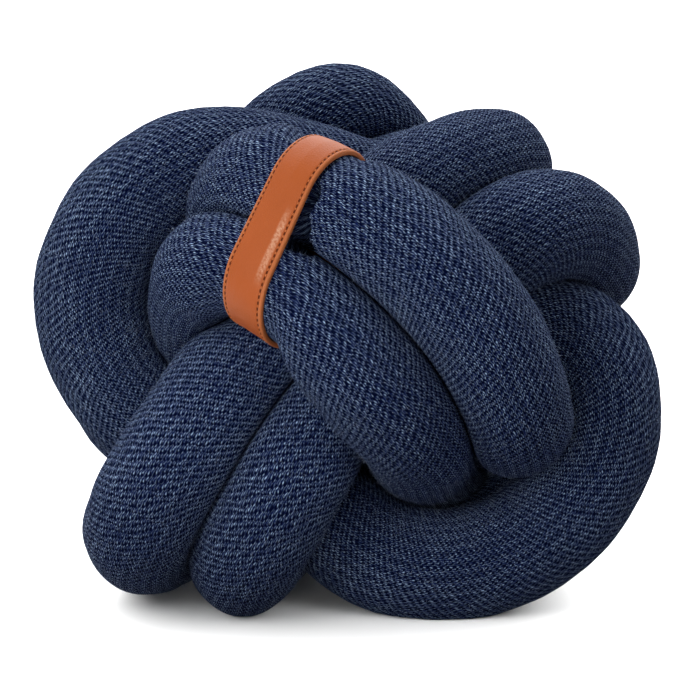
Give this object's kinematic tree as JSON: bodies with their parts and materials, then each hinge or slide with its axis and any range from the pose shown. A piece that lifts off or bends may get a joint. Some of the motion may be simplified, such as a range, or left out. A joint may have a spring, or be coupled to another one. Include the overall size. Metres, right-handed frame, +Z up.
{
  "type": "knot cushion",
  "caption": "Soft knot cushion: a stuffed knitted tube tied into a ball-shaped knot, with a narrow leather band around its front strands.",
  "frame": {"origin": "centre of the bounding box at floor level", "axes": "+Z up; -Y toward the side with the leather band; +X to the right as that side is seen"},
  "size_m": [0.296, 0.289, 0.2486],
  "materials": {
    "knit": "navy melange stocking-stitch knit, matt and slightly fuzzy",
    "leather": "smooth tan leather with a soft sheen and a stitched line along each edge"
  },
  "bodies": {
    "root": {"knot_tube": "knit", "leather_band": "leather"}
  },
  "joints": []
}
